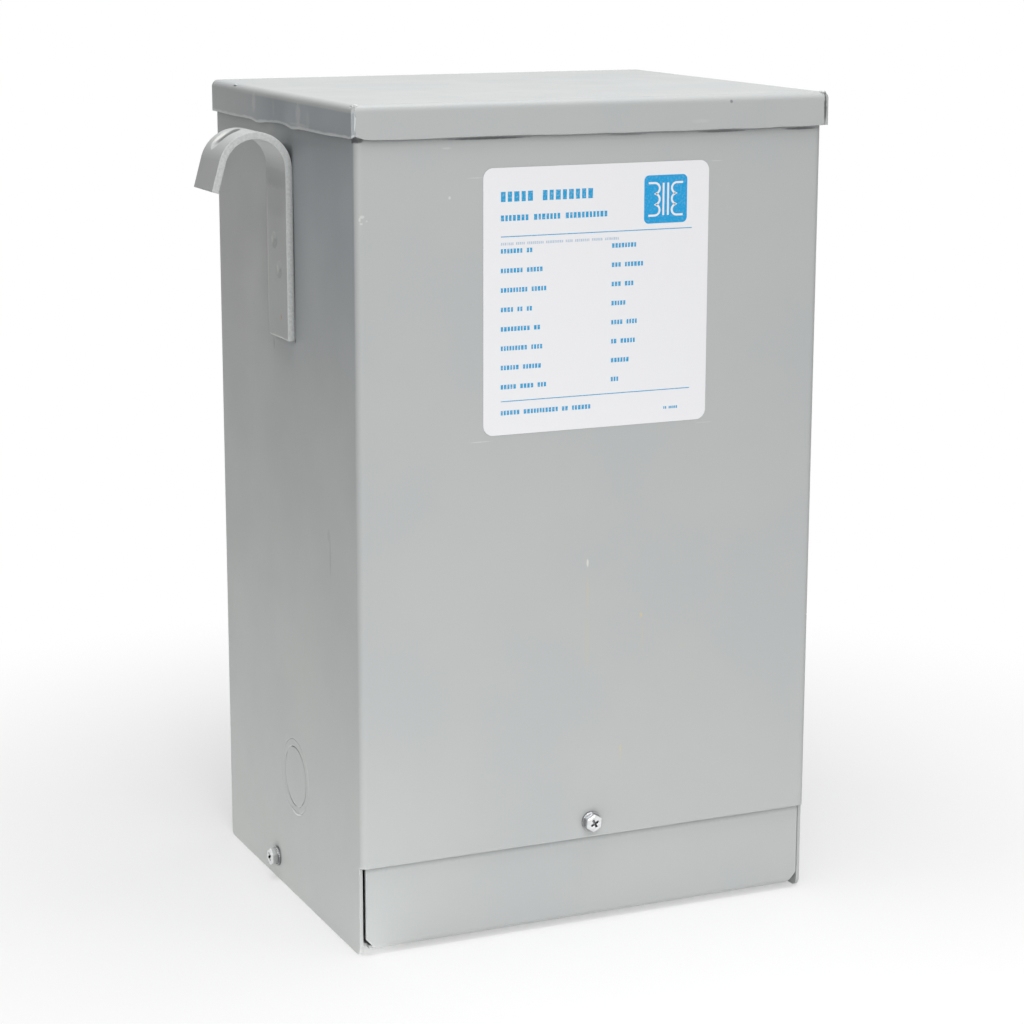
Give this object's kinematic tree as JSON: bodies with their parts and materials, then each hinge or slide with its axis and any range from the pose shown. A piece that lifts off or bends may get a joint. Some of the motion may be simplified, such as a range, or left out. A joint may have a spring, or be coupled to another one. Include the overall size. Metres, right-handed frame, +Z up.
{
  "type": "wall-mount dry-type transformer",
  "caption": "Upright grey sheet-steel transformer case with an overlapping lid, bent lifting hooks on its sides, a screwed bottom cover and conduit knockouts, for hanging on a wall.",
  "frame": {"origin": "under the middle of the case, on the plane that the side walls stand on", "axes": "+Z up, -Y towards the front, +X to the right of someone facing the front"},
  "size_m": [0.2898, 0.1836, 0.3653],
  "materials": {
    "grey_paint": "semi-gloss light grey enamel",
    "zinc": "zinc plated",
    "bare_steel": "mill finish",
    "core_steel": "varnished laminations",
    "winding": "wrapped and varnished",
    "potting": "cast resin and sand"
  },
  "bodies": {
    "root": {"back_knockout_ring": "grey_paint", "back_knockout_slug": "grey_paint", "back_panel": "grey_paint", "bottom_cover": "grey_paint", "bottom_knockout_ring": "grey_paint", "bottom_knockout_slug": "grey_paint", "case_wrap": "grey_paint", "coil": "winding", "compartment_barrier": "bare_steel", "core_stack": "core_steel", "front_cover_screw": "zinc", "left_cover_screw": "zinc", "left_hook": "grey_paint", "left_knockout_ring": "grey_paint", "left_knockout_slug": "grey_paint", "lid": "grey_paint", "potting_block": "potting", "right_cover_screw": "zinc", "right_hook": "grey_paint", "right_knockout_ring": "grey_paint", "right_knockout_slug": "grey_paint"}
  },
  "joints": []
}
